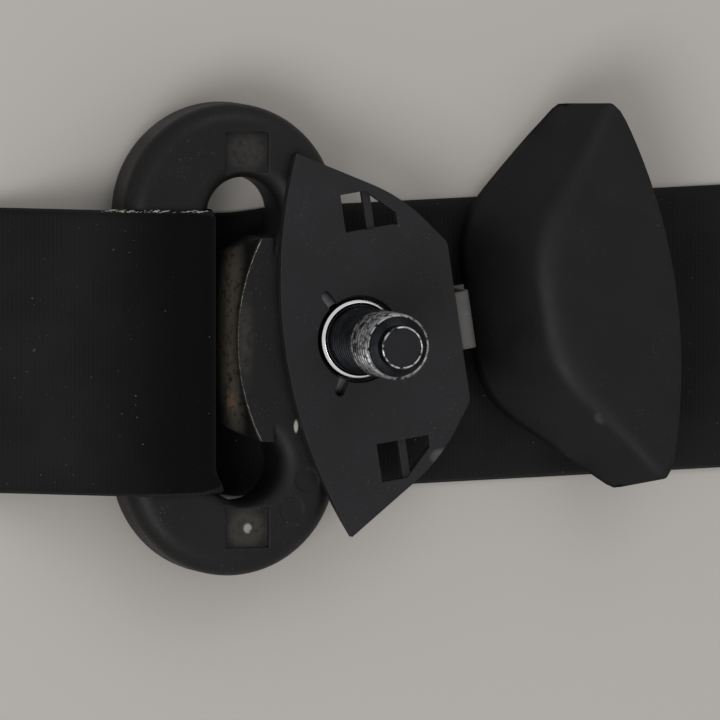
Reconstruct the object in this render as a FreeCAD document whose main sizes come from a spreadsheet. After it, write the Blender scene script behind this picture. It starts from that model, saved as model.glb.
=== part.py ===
import FreeCAD, Part
import math
import os
import Sketcher

# Pillar loop of a three-point seat belt, lying back side up with its cover swung open.
# Millimetres. The origin is on the bolt's axis at the end face of its shoulder, which
# seats on the pillar. +Z is the way the thread points, and -X leads to the webbing slot.

SIZES = [
    # heights
    ("lie_depth", 16.6, "end face of the shoulder down to the surface the loop lies on"),
    ("soft_gap", 0.3, "webbing to whatever it passes"),
    ("over_cut", 1, "how far a cutting shape stands past the face it cuts"),
    ("slip_gap", 0.3, "between neighbours that turn over each other"),
    ("touch_gap", 0.1, "spring washer to the faces it presses on"),
    ("shaft_gap", 0.05, "radial running gap of the bush on the shoulder"),
    # webbing
    ("webbing_width", 47, "width of the woven strap"),
    ("webbing_gauge", 1.2, "thickness of the woven strap"),
    ("webbing_shift", 2.0, "how far the strap lies towards the lower lobe"),
    ("rear_reach", 90, "bolt to the cut end of the run that comes in over the far bar"),
    ("rear_lift", 76, "bolt to where that run leaves the surface"),
    ("rear_sweep", 45, "bend where it leaves the surface"),
    ("front_reach", 95, "bolt to the cut end of the run that goes out under the cover"),
    ("turn_under", 3.5, "bend of the strap below the lip"),
    ("seam_height", 7.6, "surface up to where the two runs meet inside the slot"),
    # guide ring
    ("ring_near", 2.6, "bolt to the near side of its two round ends"),
    ("ring_gauge", 12.5, "thickness of the ring"),
    ("end_bar", 12.15, "moulding outside a lobe of the slot, so that with it it makes a round end"),
    ("waist_round", 8, "radius of the waist between the ends"),
    ("waist_run", 0.5, "how far the waist's circle stands off an end's circle"),
    ("edge_round", 3.4, "rounded outer edges"),
    ("relief_start", 15.4, "bolt to where the front of the shoulders starts to thin"),
    ("relief_end", 7.6, "bolt to where they are down to the flange"),
    ("flange_gauge", 4.5, "thickness of the flange round the ear and shoulders"),
    ("ear_round", 12.4, "outer radius of the ear"),
    ("ear_root", 17, "bolt back to where the ear grows out of the ring"),
    ("ear_root_half", 8, "half width of the ear there"),
    ("ear_window", 10.2, "opening in the moulding that bares the steel round the pivot"),
    # slot
    ("slot_offset", 18.8, "bolt to the lobes of the slot"),
    ("slot_room", 3.25, "edge of a centred strap to the end of the slot"),
    ("lobe_round", 6.1, "radius of a lobe"),
    ("lip_offset", 21.3, "bolt to the straight lip between the lobes"),
    ("lip_round", 4, "corner of the lip"),
    ("lip_gap", 0.55, "end of the lip to the lobe"),
    ("lip_side_back", 5.1, "how far the sides of the lip run back from its face"),
    ("lip_side_out", 2.8, "how far they spread on the way"),
    ("lip_root", 2.2, "how far the lip reaches into the wall behind it"),
    ("mouth_round", 3, "rounded edges of the slot"),
    ("slope_height", 9.5, "height of the sloped wall above the lip"),
    ("slope_spread", 0.3, "how far the slope's upper edge runs out past the sides of the lip"),
    ("slope_bow", 4.1, "how far that edge bows out towards the strap"),
    # witness pockets of the moulding
    ("pocket_near", 15, "bolt to the near side of a pocket"),
    ("pocket_far", 22.3, "bolt to its far side"),
    ("pocket_in", 27.5, "middle line to its inner side"),
    ("pocket_out", 34.2, "middle line to its outer side"),
    ("pocket_sink", 0.7, "depth of a pocket"),
    ("mark_round", 2.05, "radius of an ejector mark"),
    ("mark_sink", 0.15, "depth of an ejector mark"),
    ("near_mark_back", 8.4, "bolt back to the nearer mark"),
    ("near_mark_side", 23.2, "middle line to it"),
    ("far_mark_back", 11.1, "bolt back to the other mark"),
    ("far_mark_side", 27.9, "middle line to it"),
    # stamped core
    ("core_gauge", 3, "thickness of the steel"),
    ("core_cover", 1, "moulding over the back of the steel"),
    ("core_skin", 3, "moulding outside the edge of the steel"),
    ("slot_skin", 2.5, "moulding between the slot and the steel"),
    ("core_ear", 11.4, "outer radius of the steel ear"),
    # bush and washers
    ("bush_wall", 0.95, "wall of the pivot bush"),
    ("washer_round", 9.4, "outer radius of the front washer"),
    ("washer_gauge", 1, "thickness of the front washer"),
    ("spring_round", 9.6, "outer radius of the spring washer"),
    ("spring_gauge", 0.5, "thickness of the spring washer"),
    # bolt
    ("shoulder", 6.6, "radius of the shoulder"),
    ("shoulder_break", 0.5, "chamfer at its end"),
    ("thread", 5.556, "radius over the thread"),
    ("thread_reach", 21.2, "shoulder to the end of the thread"),
    ("thread_break", 0.9, "chamfer at the end of the thread"),
    ("pilot", 3.55, "radius of the pilot point"),
    ("pilot_reach", 2.3, "length of the pilot point"),
    ("pilot_break", 0.4, "chamfer of the pilot point"),
    ("head", 10.5, "radius of the head's flange"),
    ("head_flange", 1.6, "thickness of the flange"),
    ("head_dome", 7.8, "radius of the head above the flange"),
    ("head_height", 4.9, "height of the head above the flange"),
    ("head_break", 1.2, "chamfer of the head"),
    ("socket", 3.2, "middle circle of the six-lobe socket"),
    ("socket_lobe", 1.1, "radius of one lobe of the socket"),
    ("socket_depth", 3.6, "depth of the socket"),
    # base plate
    ("plate_turn", 8.6, "degrees that the plate is swung round the bolt"),
    ("plate_sink", 0.5, "shoulder end down to the plate"),
    ("plate_gauge", 1.8, "thickness of the plate"),
    ("plate_back", 12.8, "bolt to the middle of the bowed edge"),
    ("tip_spread", 3.05, "how far the tips stand out past the flanks"),
    ("tip_back", 6.1, "bolt back to the tips"),
    ("belly_back", 9, "bolt back to the centre of the two flanks"),
    ("belly_over", 2.7, "how far the circle of the flanks would pass the hinge edge"),
    ("corner_stand", 0.37, "how far a corner's circle stands out past that circle"),
    ("hinge_corner", 2, "radius of those corners"),
    ("plate_hole", 7.2, "radius of the hole's upper step"),
    ("grip_gap", 0.15, "shoulder to the hole's lower step"),
    ("grip_gauge", 0.6, "thickness of the lower step"),
    ("notch_reach", 10, "bolt to the end of a notch"),
    ("notch_width", 1.7, "width of a notch"),
    ("window_start", 0.3, "bolt to the near end of a window"),
    ("window_end", 9.3, "bolt to its far end"),
    ("window_edge", 5, "outer side of a window to the edge of the flank's circle"),
    ("window_depth", 6.4, "inner to outer side of a window"),
    ("window_cut", 4.7, "length of the outer side before it slants in"),
    ("window_slant", 4.4, "how far in the slant comes"),
    ("web_start", 4.2, "bolt to the web across a window"),
    ("web_width", 1.3, "width of the web"),
    ("web_bite", 0.5, "how far a web runs into the plate either side"),
    ("web_sink", 0.7, "how far the web lies below the plate's face"),
    # living hinge
    ("hinge_reach", 19.8, "bolt to the fold between plate and cover"),
    ("fold_gap", 2.5, "fold to the edges of the plate and of the open cover"),
    ("strap_width", 9.5, "width of the hinge strap"),
    ("strap_gauge", 0.7, "thickness of the hinge strap"),
    ("strap_bend", 1.1, "bends of the hinge strap"),
    # cover
    ("rim_height", 4.1, "surface up to the cover's rim"),
    ("cover_depth", 14.5, "rim to the face of the cover"),
    ("cover_wall", 1.6, "wall of the cover"),
    ("rim_half", 7.3, "middle line to the centre of a rim corner"),
    ("rim_round", 16, "radius of a rim corner"),
    ("rim_tip", 24.2, "fold to the rim's tips"),
    ("rim_tip_half", 32.3, "middle line to the rim's tips"),
    ("ridge_near", 12.4, "fold to the ridge, where the wall would meet the face"),
    ("ridge_half", 3, "middle line to the centre of a ridge corner"),
    ("ridge_round", 24, "radius of a ridge corner"),
    ("ridge_tip", 28.8, "fold to the ridge's tips"),
    ("ridge_tip_half", 31.4, "middle line to the ridge's tips"),
    ("cover_far", 33.8, "fold to the middle of the cover's bowed side"),
    ("band_drop", 1.3, "height of the sloped band that stands in the ridge's place"),
    ("band_run", 3, "how far the band comes in from the ridge"),
    ("band_edge", 0.8, "how far it comes in along the bowed side"),
    ("ridge_heel", 1, "how much further out the inside goes beside the hinge"),
    ("tip_draw_in", 0.3, "wall thicknesses that the inside stays back from a tip, across"),
    ("tip_draw_along", 2.1, "wall thicknesses that it stays back from a tip, lengthwise"),
    ("mouth_start", 13.2, "fold to where the rim steps up for the ring"),
    ("mouth_step", 0.6, "height of that step"),
    ("mouth_bend", 18.5, "fold to where the rim steps up again"),
    ("mouth_ease", 1.2, "rim up to the foot of that second step"),
    ("mouth_rise", 5, "rim up to its top"),
    ("mouth_slant", 6.2, "rim up to the mouth at the rim's tips"),
    ("mouth_top", 12.1, "rim up to the mouth at the ridge's tips"),
    ("way_start", 26.7, "fold to the deep part of the mouth"),
    ("mouth_half", 25, "half width of the deep part of the mouth"),
    ("clip_width", 1.7, "width of a snap hook"),
    ("clip_gauge", 1.5, "thickness of a snap hook"),
    ("clip_reach", 2.6, "how far a hook stands out of the rim"),
    ("clip_barb", 0.5, "barb of a hook, towards the middle line"),
    ("barb_gap", 0.15, "barb to the inner side of its window when the cover is shut"),
    ("clip_gap", 0.6, "hook to the end of its window when the cover is shut"),
    ("clip_root", 3.6, "rim up to where the hook has run into the wall"),
]

# Levels, each a formula of the sizes above
FLOOR = "-dim.lie_depth"
PLATE_TOP = "-dim.plate_sink"
PLATE_LOW = "(-dim.plate_sink-dim.plate_gauge)"
RING_TOP = "(-dim.plate_sink-dim.plate_gauge-dim.slip_gap)"
RING_LOW = f"({RING_TOP}-dim.ring_gauge)"
FLANGE_LOW = f"({RING_TOP}-dim.flange_gauge)"
CORE_TOP = f"({RING_TOP}-dim.core_cover)"
CORE_LOW = f"({CORE_TOP}-dim.core_gauge)"
WASHER_LOW = f"({CORE_LOW}-dim.touch_gap-dim.washer_gauge)"
HEAD_TOP = f"({WASHER_LOW}-dim.touch_gap)"
HEAD_LOW = f"({HEAD_TOP}-dim.head_flange-dim.head_height)"
RIM = f"({FLOOR}+dim.rim_height)"
COVER_TOP = f"({RIM}+dim.cover_depth)"
STRAP_MIDDLE = "dim.webbing_gauge/2"
ON_FLOOR = f"({FLOOR}+{STRAP_MIDDLE})"
SLOT_FAR = "(dim.slot_offset+dim.lobe_round)"
IN_SLOT = f"({SLOT_FAR}-dim.soft_gap-{STRAP_MIDDLE})"
SEAM = f"({FLOOR}+dim.seam_height)"

# Places along and across the ring
LOBE_Y = "(dim.webbing_width/2+dim.slot_room-dim.lobe_round)"
END_R = "(dim.lobe_round+dim.end_bar)"
END_X = f"-(dim.ring_near+{END_R})"
RING_HALF = f"({LOBE_Y}+{END_R})"
RING_FAR = f"(dim.ring_near+2*{END_R})"
LIP_HALF = f"({LOBE_Y}-dim.lobe_round-dim.lip_gap)"
LIP_BACK = "-(dim.lip_offset-dim.lip_side_back)"
LIP_WIDE = f"({LIP_HALF}+dim.lip_side_out)"
SLOPE_HALF = f"({LIP_WIDE}+dim.slope_spread)"

# Places along and across the plate and the cover
HINGE_EDGE = "(dim.hinge_reach-dim.fold_gap)"
RIM_NEAR = "(dim.hinge_reach+dim.fold_gap)"
BELLY = f"({HINGE_EDGE}+dim.belly_over+dim.belly_back)"
TIP_HALF = f"({BELLY}+dim.tip_spread)"
WINDOW_OUTER = f"({BELLY}-dim.window_edge)"
WINDOW_INNER = f"({WINDOW_OUTER}-dim.window_depth)"
RIM_TIP = "(dim.hinge_reach+dim.rim_tip)"
RIDGE_TIP = "(dim.hinge_reach+dim.ridge_tip)"
RIDGE_NEAR = "(dim.hinge_reach+dim.ridge_near)"
COVER_FAR = "(dim.hinge_reach+dim.cover_far)"

doc = FreeCAD.newDocument("PillarLoop")
dim = doc.addObject("Spreadsheet::Sheet", "dim")
for row, (alias, amount, meaning) in enumerate(SIZES, start=1):
    dim.set(f"A{row}", meaning)
    dim.set(f"B{row}", str(amount))
    dim.setAlias(f"B{row}", alias)
doc.recompute()


def value(formula):
    return float(dim.evalExpression(str(formula)))


def new_body(label):
    body = doc.addObject("PartDesign::Body", label)
    body.Label = label
    return body


def new_sketch(body, name, role="XY_Plane", level="0"):
    sketch = body.newObject("Sketcher::SketchObject", f"{body.Name}_{name}")
    plane = next(o for o in body.Origin.OriginFeatures if o.Role == role)
    sketch.AttachmentSupport = [(plane, "")]
    sketch.MapMode = "FlatFace"
    sketch.AttachmentOffset = FreeCAD.Placement(FreeCAD.Vector(0, 0, value(level)), FreeCAD.Rotation())
    sketch.setExpression("AttachmentOffset.Base.z", level)
    return sketch


def bind(sketch, constraints):
    for constraint, formula in constraints:
        index = sketch.addConstraint(constraint)
        if formula is not None:
            sketch.setExpression(f"Constraints[{index}]", str(formula))


def place(sketch, geometry, point, x, y):
    return [
        (Sketcher.Constraint("DistanceX", -1, 1, geometry, point, value(x)), x),
        (Sketcher.Constraint("DistanceY", -1, 1, geometry, point, value(y)), y),
    ]


def add_circle(sketch, x, y, radius):
    centre = FreeCAD.Vector(value(x), value(y), 0)
    circle = sketch.addGeometry(Part.Circle(centre, FreeCAD.Vector(0, 0, 1), value(radius)), False)
    bind(sketch, place(sketch, circle, 3, x, y))
    bind(sketch, [(Sketcher.Constraint("Radius", circle, value(radius)), radius)])


def corner(x, y, radius=None, turn=1, bow=None):
    """One corner of an outline: sharp, or an arc round (x, y) that turns left (1) or right (-1).
    A bow is the radius of the arc that leads on from a sharp corner to the next sharp one."""
    return {"x": x, "y": y, "radius": radius, "turn": turn, "bow": bow}


def add_outline(sketch, corners, closed=True):
    """Straight runs and arcs, tangent wherever a corner is round."""
    count = len(corners)
    spots = [FreeCAD.Vector(value(c["x"]), value(c["y"]), 0) for c in corners]
    reach = [c["turn"] * value(c["radius"]) if c["radius"] else 0.0 for c in corners]
    legs = [(i, (i + 1) % count) for i in range(count if closed else count - 1)]
    leave, enter, normals = {}, {}, {}
    for i, j in legs:
        across = spots[j] - spots[i]
        lean = math.atan2(across.y, across.x) + math.acos((reach[j] - reach[i]) / across.Length)
        normal = FreeCAD.Vector(math.cos(lean), math.sin(lean), 0)
        leave[i] = spots[i] - normal * reach[i]
        enter[j] = spots[j] - normal * reach[j]
    leg_index, round_index = {}, {}
    for i, j in legs:
        if corners[i]["bow"] is None:
            leg_index[i] = sketch.addGeometry(Part.LineSegment(leave[i], enter[j]), False)
        else:
            arc = bowed(leave[i], enter[j], value(corners[i]["bow"]), corners[i]["turn"])
            leg_index[i] = sketch.addGeometry(arc, False)
    for i, spot in enumerate(corners):
        if spot["radius"]:
            ends = (enter[i], leave[i]) if spot["turn"] > 0 else (leave[i], enter[i])
            angles = [math.atan2(p.y - spots[i].y, p.x - spots[i].x) for p in ends]
            circle = Part.Circle(spots[i], FreeCAD.Vector(0, 0, 1), abs(reach[i]))
            round_index[i] = sketch.addGeometry(Part.ArcOfCircle(circle, *angles), False)
    for i, spot in enumerate(corners):
        before = leg_index.get((i - 1) % count) if closed or i > 0 else None
        after = leg_index.get(i)
        if i in round_index:
            arc = round_index[i]
            entry, leaving = (1, 2) if spot["turn"] > 0 else (2, 1)
            bind(sketch, place(sketch, arc, 3, spot["x"], spot["y"]))
            bind(sketch, [(Sketcher.Constraint("Radius", arc, abs(reach[i])), spot["radius"])])
            bind(sketch, [(Sketcher.Constraint("Tangent", before, 2, arc, entry), None)])
            bind(sketch, [(Sketcher.Constraint("Tangent", arc, leaving, after, 1), None)])
            continue
        here, there = leg_ends(corners, before, after, i, count)
        if before is not None and after is not None:
            bind(sketch, [(Sketcher.Constraint("Coincident", before, there, after, here), None)])
        if after is not None:
            bind(sketch, place(sketch, after, here, spot["x"], spot["y"]))
        else:
            bind(sketch, place(sketch, before, there, spot["x"], spot["y"]))
        if spot["bow"] is not None:
            bind(sketch, [(Sketcher.Constraint("Radius", after, value(spot["bow"])), spot["bow"])])


def leg_ends(corners, before, after, i, count):
    """Point numbers at a sharp corner: start of the leg that leaves, end of the one that comes in.
    An arc runs counter-clockwise, so one that bows the other way is met by its other end."""
    leaving, coming = corners[i], corners[(i - 1) % count]
    here = 2 if leaving["bow"] is not None and leaving["turn"] < 0 else 1
    there = 1 if coming["bow"] is not None and coming["turn"] < 0 else 2
    return here, there


def bowed(start, end, radius, turn):
    """An arc from start to end that bulges to the right (turn 1) or to the left (turn -1)."""
    along = end - start
    left = FreeCAD.Vector(-along.y, along.x, 0).normalize()
    depth = math.sqrt(radius ** 2 - (along.Length / 2) ** 2)
    centre = start + along * 0.5 + left * depth * turn
    ends = (start, end) if turn > 0 else (end, start)
    angles = [math.atan2(p.y - centre.y, p.x - centre.x) for p in ends]
    return Part.ArcOfCircle(Part.Circle(centre, FreeCAD.Vector(0, 0, 1), radius), *angles)


def sagitta(half, rise):
    """Radius of the arc over a chord of 2*half that rises by rise, as a formula."""
    return f"(({half})^2+({rise})^2)/(2*({rise}))"


def feature(body, kind, name, sketch, **settings):
    made = body.newObject(f"PartDesign::{kind}", f"{body.Name}_{name}")
    made.Profile = sketch
    for key, setting in settings.items():
        if isinstance(setting, str) and "dim." in setting:
            made.setExpression(key, setting)
        else:
            setattr(made, key, setting)
    doc.recompute()
    return made


def pad(body, name, corners, low, high, **settings):
    sketch = new_sketch(body, f"{name}_outline", level=low)
    add_outline(sketch, corners)
    return feature(body, "Pad", name, sketch, Length=f"({high})-({low})", **settings)


def pocket(body, name, corners, low, high):
    """Cuts an outline out of the body between two levels."""
    sketch = new_sketch(body, f"{name}_outline", level=high)
    add_outline(sketch, corners)
    return checked_cut(body, "Pocket", name, sketch, Length=f"({high})-({low})")


def checked_cut(body, kind, name, sketch, **settings):
    before = body.Shape.Volume
    cut = feature(body, kind, name, sketch, **settings)
    if body.Shape.Volume > before - 1e-3:
        raise RuntimeError(f"{cut.Name} cuts nothing")
    return cut


def side_cut(body, name, corners, width):
    """Cuts a side profile, drawn in X and Z, through the body to both sides of its middle plane."""
    sketch = new_sketch(body, f"{name}_profile", role="XZ_Plane")
    add_outline(sketch, corners)
    return checked_cut(body, "Pocket", name, sketch, Length=width, SideType="Symmetric")


def spin(body, name, corners):
    """Turns a side profile, drawn in radius and height, round the bolt's axis."""
    sketch = new_sketch(body, f"{name}_profile", role="XZ_Plane")
    add_outline(sketch, corners)
    return feature(body, "Revolution", name, sketch, ReferenceAxis=(sketch, ["V_Axis"]), Angle=360.0)


def soften(body, name, radius, wanted, kind="Fillet"):
    """Rounds or breaks every edge of the body's tip that wanted picks."""
    tip = body.Tip
    names = [f"Edge{i}" for i, edge in enumerate(tip.Shape.Edges, start=1) if wanted(edge)]
    if not names:
        raise RuntimeError(f"{name} finds no edge")
    made = body.newObject(f"PartDesign::{kind}", f"{body.Name}_{name}")
    made.Base = (tip, names)
    made.setExpression("Radius" if kind == "Fillet" else "Size", radius)
    doc.recompute()
    return made


def flat_at(edge, level):
    box = edge.BoundBox
    return abs(box.ZMin - value(level)) < 1e-4 and abs(box.ZMax - value(level)) < 1e-4


def ring_outline(inset="0"):
    """The ring seen along the bolt: two round ends and the waist between them."""
    waist_x = f"({END_X}+sqrt((dim.waist_round+{END_R}+dim.waist_run)^2-{LOBE_Y}^2))"
    return [
        corner(waist_x, "0", f"(dim.waist_round+{inset})", turn=-1),
        corner(END_X, LOBE_Y, f"({END_R}-{inset})"),
        corner(END_X, f"-{LOBE_Y}", f"({END_R}-{inset})"),
    ]


def slot_outline(skin="0"):
    """Two round lobes joined by a narrow middle with a straight lip on its near side."""
    lobe_r = f"(dim.lobe_round+{skin})"
    lip_x = f"-(dim.lip_offset-{skin}-dim.lip_round)"
    lip_y = f"({LOBE_Y}-{lobe_r}-dim.lip_round-dim.lip_gap)"
    return [
        corner("-dim.slot_offset", LOBE_Y, lobe_r),
        corner("-dim.slot_offset", f"-{LOBE_Y}", lobe_r),
        corner(lip_x, f"-{lip_y}", "dim.lip_round", turn=-1),
        corner(lip_x, lip_y, "dim.lip_round", turn=-1),
    ]


def ear_outline(radius):
    return [
        corner("0", "0", radius),
        corner("-dim.ear_root", "dim.ear_root_half"),
        corner("-dim.ear_root", "-dim.ear_root_half"),
    ]


def rectangle(x1, y1, x2, y2):
    return [corner(x1, y1), corner(x2, y1), corner(x2, y2), corner(x1, y2)]


# Stamped steel core of the ring
core = new_body("ring_core")
pad(core, "frame", ring_outline("dim.core_skin"), CORE_LOW, CORE_TOP)
pad(core, "ear", ear_outline("dim.core_ear"), CORE_LOW, CORE_TOP)
pocket(core, "slot", slot_outline("dim.slot_skin"), CORE_LOW, CORE_TOP)
BUSH_OUT = "(dim.shoulder+dim.shaft_gap+dim.bush_wall)"
core_hole = new_sketch(core, "hole_outline", level=CORE_TOP)
add_circle(core_hole, "0", "0", BUSH_OUT)
checked_cut(core, "Pocket", "hole", core_hole, Length="dim.core_gauge")

# Moulded guide ring round the core
guide = new_body("guide_moulding")
pad(guide, "ring", ring_outline(), RING_LOW, RING_TOP)
soften(guide, "edges", "dim.edge_round", lambda e: flat_at(e, RING_TOP) or flat_at(e, RING_LOW))
pocket(guide, "slot", slot_outline(), RING_LOW, RING_TOP)


def on_slot(edge):
    box = edge.BoundBox
    across = -value(SLOT_FAR) - 1e-3 < box.XMin < -value("dim.slot_offset")
    return across and abs(box.YMin) < value(f"{LOBE_Y}+dim.lobe_round") + 1e-3


soften(
    guide,
    "mouth",
    "dim.mouth_round",
    lambda e: on_slot(e) and (flat_at(e, RING_TOP) or flat_at(e, RING_LOW)),
)

side_cut(
    guide,
    "relief",
    [
        corner("-dim.relief_start", f"{RING_LOW}-dim.over_cut"),
        corner("dim.ear_round", f"{RING_LOW}-dim.over_cut"),
        corner("dim.ear_round", FLANGE_LOW),
        corner("-dim.relief_end", FLANGE_LOW),
        corner("-dim.relief_start", RING_LOW),
    ],
    f"2*({RING_HALF}+dim.over_cut)",
)
pad(guide, "ear", ear_outline("dim.ear_round"), FLANGE_LOW, RING_TOP)

LIP_ROOT = f"({LIP_BACK}+dim.lip_root)"
pad(
    guide,
    "lip",
    [
        corner("-dim.lip_offset", LIP_HALF),
        corner("-dim.lip_offset", f"-{LIP_HALF}"),
        corner(LIP_BACK, f"-{LIP_WIDE}"),
        corner(LIP_ROOT, f"-{LIP_WIDE}"),
        corner(LIP_ROOT, LIP_WIDE),
        corner(LIP_BACK, LIP_WIDE),
    ],
    f"({RING_LOW}+dim.mouth_round)",
    RING_TOP,
)

SLOPE_BOW = sagitta(SLOPE_HALF, "dim.slope_bow")
slope_top = new_sketch(guide, "slope_top", level=RING_TOP)
add_outline(
    slope_top,
    [
        corner(f"-{IN_SLOT}", f"-{SLOPE_HALF}"),
        corner(LIP_BACK, f"-{SLOPE_HALF}", turn=-1, bow=SLOPE_BOW),
        corner(LIP_BACK, SLOPE_HALF),
        corner(f"-{IN_SLOT}", SLOPE_HALF),
    ],
)
slope_foot = new_sketch(guide, "slope_foot", level=f"{RING_TOP}-dim.slope_height")
add_outline(slope_foot, rectangle(f"-{IN_SLOT}", f"-{LIP_HALF}", "-dim.lip_offset", LIP_HALF))
checked_cut(guide, "SubtractiveLoft", "slope", slope_top, Sections=[slope_foot], Ruled=True)

for side in (1, -1):
    where = "upper" if side > 0 else "lower"
    inner, outer = f"{side}*dim.pocket_in", f"{side}*dim.pocket_out"
    first, last = (inner, outer) if side > 0 else (outer, inner)
    pocket(
        guide,
        f"{where}_witness",
        rectangle("-dim.pocket_far", first, "-dim.pocket_near", last),
        f"({RING_TOP}-dim.pocket_sink)",
        RING_TOP,
    )
for which in ("near", "far"):
    mark = new_sketch(guide, f"{which}_mark", level=RING_TOP)
    add_circle(mark, f"-dim.{which}_mark_back", f"-dim.{which}_mark_side", "dim.mark_round")
    checked_cut(guide, "Pocket", f"{which}_ejector_mark", mark, Length="dim.mark_sink")
ear_window = new_sketch(guide, "ear_window", level=RING_TOP)
add_circle(ear_window, "0", "0", "dim.ear_window")
checked_cut(guide, "Pocket", "bare_ear", ear_window, Length="dim.flange_gauge")

overmould = doc.addObject("Part::Cut", "ring_overmould")
overmould.Label = "ring_overmould"
overmould.Base = guide
overmould.Tool = core

# Plastic bush between the steel ear and the bolt's shoulder
bush = new_body("pivot_bush")
BUSH_IN = "(dim.shoulder+dim.shaft_gap)"
spin(bush, "sleeve", rectangle(BUSH_IN, CORE_LOW, BUSH_OUT, CORE_TOP))

# Shoulder bolt
bolt = new_body("anchor_bolt")
TIP = "(dim.thread_reach+dim.pilot_reach)"
spin(
    bolt,
    "blank",
    [
        corner("0", HEAD_LOW),
        corner("dim.head_dome-dim.head_break", HEAD_LOW),
        corner("dim.head_dome", f"{HEAD_LOW}+dim.head_break"),
        corner("dim.head_dome", f"{HEAD_TOP}-dim.head_flange"),
        corner("dim.head", f"{HEAD_TOP}-dim.head_flange"),
        corner("dim.head", HEAD_TOP),
        corner("dim.shoulder", HEAD_TOP),
        corner("dim.shoulder", "-dim.shoulder_break"),
        corner("dim.shoulder-dim.shoulder_break", "0"),
        corner("dim.thread", "0"),
        corner("dim.thread", "dim.thread_reach-dim.thread_break"),
        corner("dim.thread-dim.thread_break", "dim.thread_reach"),
        corner("dim.pilot", "dim.thread_reach"),
        corner("dim.pilot", f"{TIP}-dim.pilot_break"),
        corner("dim.pilot-dim.pilot_break", TIP),
        corner("0", TIP),
    ],
)
socket = new_sketch(bolt, "socket_outline", level=f"{HEAD_LOW}+dim.socket_depth")
add_circle(socket, "0", "0", "dim.socket")
checked_cut(bolt, "Pocket", "socket", socket, Length="dim.socket_depth")
lobe = new_sketch(bolt, "lobe_outline", level=f"{HEAD_LOW}+dim.socket_depth")
add_circle(lobe, "dim.socket", "0", "dim.socket_lobe")
lobe_cut = checked_cut(bolt, "Pocket", "lobe", lobe, Length="dim.socket_depth")
lobes = bolt.newObject("PartDesign::PolarPattern", "anchor_bolt_lobes")
lobes.Originals = [lobe_cut]
lobes.Axis = (lobe, ["N_Axis"])
lobes.Angle = 360
lobes.Occurrences = 6
bolt.Tip = lobes

# Washers either side of the ear
front_washer = new_body("front_washer")
spin(
    front_washer,
    "disc",
    rectangle(BUSH_IN, WASHER_LOW, "dim.washer_round", f"{WASHER_LOW}+dim.washer_gauge"),
)
spring_washer = new_body("spring_washer")
SPRING_LOW = f"({CORE_TOP}+dim.touch_gap)"
SPRING_TOP = f"({PLATE_LOW}-dim.touch_gap)"
spin(
    spring_washer,
    "cone",
    [
        corner(f"{BUSH_IN}+dim.slip_gap", f"{SPRING_TOP}-dim.spring_gauge"),
        corner("dim.spring_round", SPRING_LOW),
        corner("dim.spring_round", f"{SPRING_LOW}+dim.spring_gauge"),
        corner(f"{BUSH_IN}+dim.slip_gap", SPRING_TOP),
    ],
)

# Flat base plate that the cover snaps into
plate = new_body("base_plate")
hinge_x = f"({HINGE_EDGE}-dim.hinge_corner)"
hinge_y = f"sqrt(({BELLY}-dim.hinge_corner+dim.corner_stand)^2-({hinge_x}+dim.belly_back)^2)"
plate_bow = sagitta(TIP_HALF, "(dim.plate_back-dim.tip_back)")
pad(
    plate,
    "sheet",
    [
        corner(hinge_x, hinge_y, "dim.hinge_corner"),
        corner("-dim.belly_back", "0", BELLY),
        corner("-dim.tip_back", TIP_HALF, bow=plate_bow),
        corner("-dim.tip_back", f"-{TIP_HALF}"),
        corner("-dim.belly_back", "0", BELLY),
        corner(hinge_x, f"-{hinge_y}", "dim.hinge_corner"),
    ],
    PLATE_LOW,
    PLATE_TOP,
)
grip = new_sketch(plate, "grip_outline", level=PLATE_TOP)
add_circle(grip, "0", "0", "dim.shoulder+dim.grip_gap")
checked_cut(plate, "Pocket", "grip", grip, Length="dim.plate_gauge")
step = new_sketch(plate, "hole_outline", level=PLATE_TOP)
add_circle(step, "0", "0", "dim.plate_hole")
checked_cut(plate, "Pocket", "hole", step, Length="dim.plate_gauge-dim.grip_gauge")
notch_sketch = new_sketch(plate, "notch_outline", level=PLATE_TOP)
add_outline(
    notch_sketch,
    [
        corner("dim.shoulder", "-dim.notch_width/2"),
        corner("dim.notch_reach-dim.notch_width/2", "0", "dim.notch_width/2"),
        corner("dim.shoulder", "dim.notch_width/2"),
    ],
)
notch = checked_cut(plate, "Pocket", "notch", notch_sketch, Length="dim.plate_gauge")
notches = plate.newObject("PartDesign::PolarPattern", "base_plate_notches")
notches.Originals = [notch]
notches.Axis = (notch_sketch, ["N_Axis"])
notches.Angle = 360
notches.Occurrences = 3
plate.Tip = notches
doc.recompute()
for side in (1, -1):
    where = "upper" if side > 0 else "lower"
    outline = [
        corner("dim.window_start", f"{side}*{WINDOW_INNER}"),
        corner("dim.window_end", f"{side}*{WINDOW_INNER}"),
        corner("dim.window_end", f"{side}*({WINDOW_OUTER}-dim.window_slant)"),
        corner("dim.window_cut", f"{side}*{WINDOW_OUTER}"),
        corner("dim.window_start", f"{side}*{WINDOW_OUTER}"),
    ]
    pocket(plate, f"{where}_window", outline if side > 0 else outline[::-1], PLATE_LOW, PLATE_TOP)
    reach = [f"{side}*({WINDOW_INNER}-dim.web_bite)", f"{side}*({WINDOW_OUTER}+dim.web_bite)"]
    pad(
        plate,
        f"{where}_web",
        rectangle(
            "dim.web_start",
            reach[0] if side > 0 else reach[1],
            "dim.web_start+dim.web_width",
            reach[1] if side > 0 else reach[0],
        ),
        PLATE_LOW,
        f"{PLATE_TOP}-dim.web_sink",
    )

# Living hinge strap from the plate's edge down to the rim of the open cover
strap = new_body("hinge_strap")
PLATE_MIDDLE = f"({PLATE_TOP}-dim.plate_gauge/2)"
RIM_GRIP = f"({RIM}+dim.strap_gauge)"


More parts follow.
